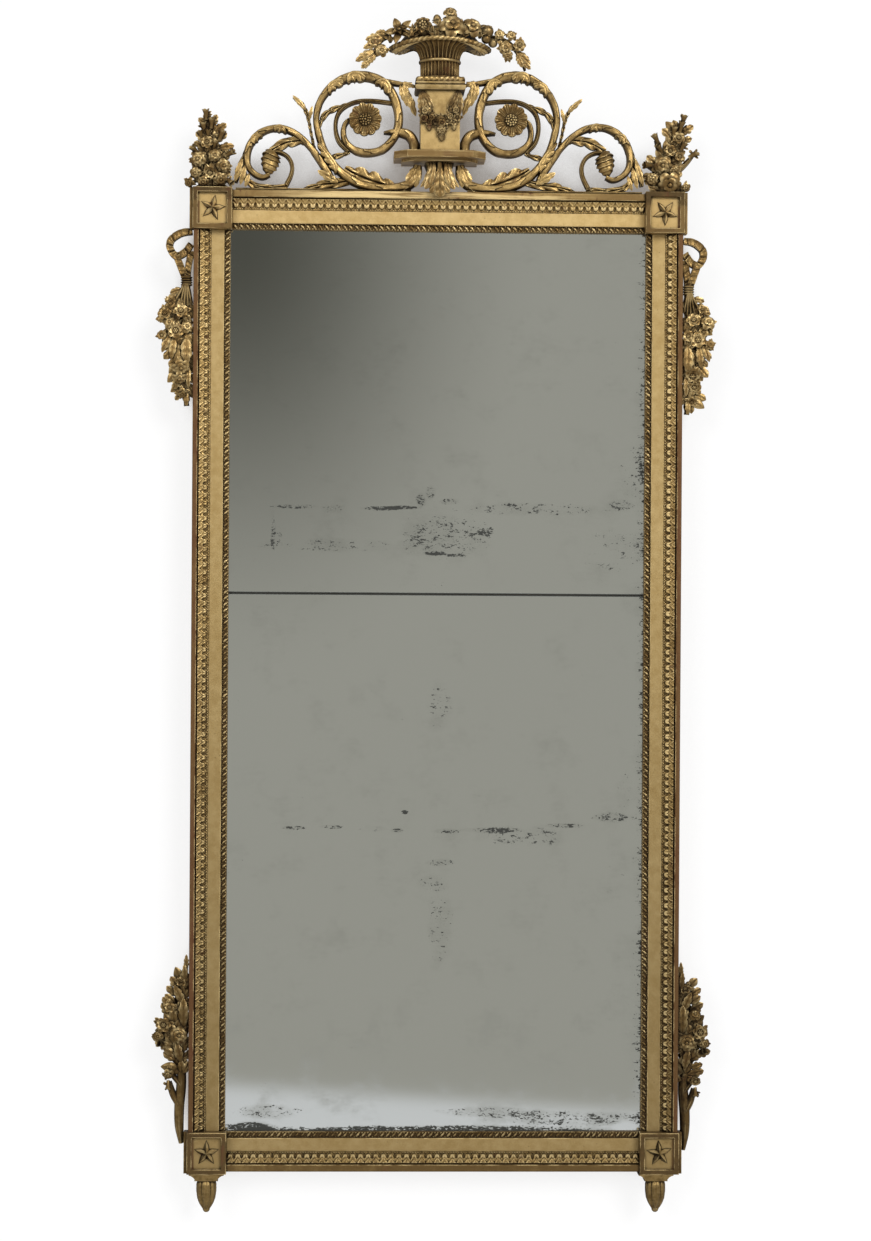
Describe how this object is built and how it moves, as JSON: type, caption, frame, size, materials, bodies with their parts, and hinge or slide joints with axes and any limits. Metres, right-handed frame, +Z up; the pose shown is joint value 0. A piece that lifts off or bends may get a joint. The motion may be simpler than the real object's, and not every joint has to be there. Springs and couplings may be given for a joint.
{
  "type": "wall mirror",
  "caption": "Tall giltwood pier mirror: beaded moulded frame with star corner blocks, split old glass, openwork scroll crest with flower basket, carved side drops and small feet.",
  "frame": {"origin": "middle of the upper wall batten's rear face, on the wall plane", "axes": "+X to the viewer's right, +Y into the wall, +Z up; the front faces -Y"},
  "size_m": [1.0252, 0.108, 2.215],
  "materials": {
    "gilt_moulding": "worn water gilding over red bole, satin",
    "gilt_carving": "worn water gilding over red bole with dark dust in the recesses",
    "mirror_glass": "old silvering with foxing and losses",
    "pine": "bare aged pine",
    "oak_pegs": "bare aged oak",
    "dark_iron": "dark wrought iron",
    "aged_brass": "dull aged brass"
  },
  "bodies": {
    "frame": {"back_screws": "dark_iron", "backboard_lower": "pine", "backboard_nails": "dark_iron", "backboard_upper": "pine", "basket": "gilt_carving", "basket_flowers": "gilt_carving", "bead_strip_bottom": "gilt_moulding", "bead_strip_left": "gilt_moulding", "bead_strip_right": "gilt_moulding", "bead_strip_top": "gilt_moulding", "carcass_muntin": "pine", "carcass_pegs": "oak_pegs", "carcass_rail_bottom": "pine", "carcass_rail_top": "pine", "carcass_stile_left": "pine", "carcass_stile_right": "pine", "corner_block_bottom_left": "gilt_carving", "corner_block_bottom_right": "gilt_carving", "corner_block_top_left": "gilt_carving", "corner_block_top_right": "gilt_carving", "corner_bouquet_left": "gilt_carving", "corner_bouquet_right": "gilt_carving", "corner_stars": "gilt_carving", "crest_scroll_left": "gilt_carving", "crest_scroll_right": "gilt_carving", "crest_strap": "dark_iron", "crest_wing_left": "gilt_carving", "crest_wing_right": "gilt_carving", "flower_trail_left": "gilt_carving", "flower_trail_right": "gilt_carving", "foot_left": "gilt_carving", "foot_right": "gilt_carving", "glazing_blocks": "pine", "hanger_plate_left": "dark_iron", "hanger_plate_right": "dark_iron", "leaf_strip_bottom": "gilt_moulding", "leaf_strip_left": "gilt_moulding", "leaf_strip_right": "gilt_moulding", "leaf_strip_top": "gilt_moulding", "mirror_plate_lower": "mirror_glass", "mirror_plate_upper": "mirror_glass", "moulding_bottom": "gilt_moulding", "moulding_left": "gilt_moulding", "moulding_right": "gilt_moulding", "moulding_top": "gilt_moulding", "pedestal": "gilt_carving", "pedestal_cap": "gilt_carving", "pedestal_swag": "gilt_carving", "rosette_left": "gilt_carving", "rosette_right": "gilt_carving", "shelf": "gilt_carving", "shelf_bracket": "gilt_carving", "side_drop_bottom_left": "gilt_carving", "side_drop_bottom_right": "gilt_carving", "side_drop_top_left": "gilt_carving", "side_drop_top_right": "gilt_carving", "wall_batten_bottom": "pine", "wall_batten_top": "pine"},
    "ring_left": {"hanger_ring_left": "aged_brass"},
    "ring_right": {"hanger_ring_right": "aged_brass"}
  },
  "joints": [
    {"name": "ring_left_swing", "type": "hinge", "parent": "frame", "child": "ring_left", "pos_m": [-0.421, -0.009, -0.12], "axis": [1, 0, 0], "range_deg": [0, 170]},
    {"name": "ring_right_swing", "type": "hinge", "parent": "frame", "child": "ring_right", "pos_m": [0.421, -0.009, -0.12], "axis": [1, 0, 0], "range_deg": [0, 170]}
  ]
}
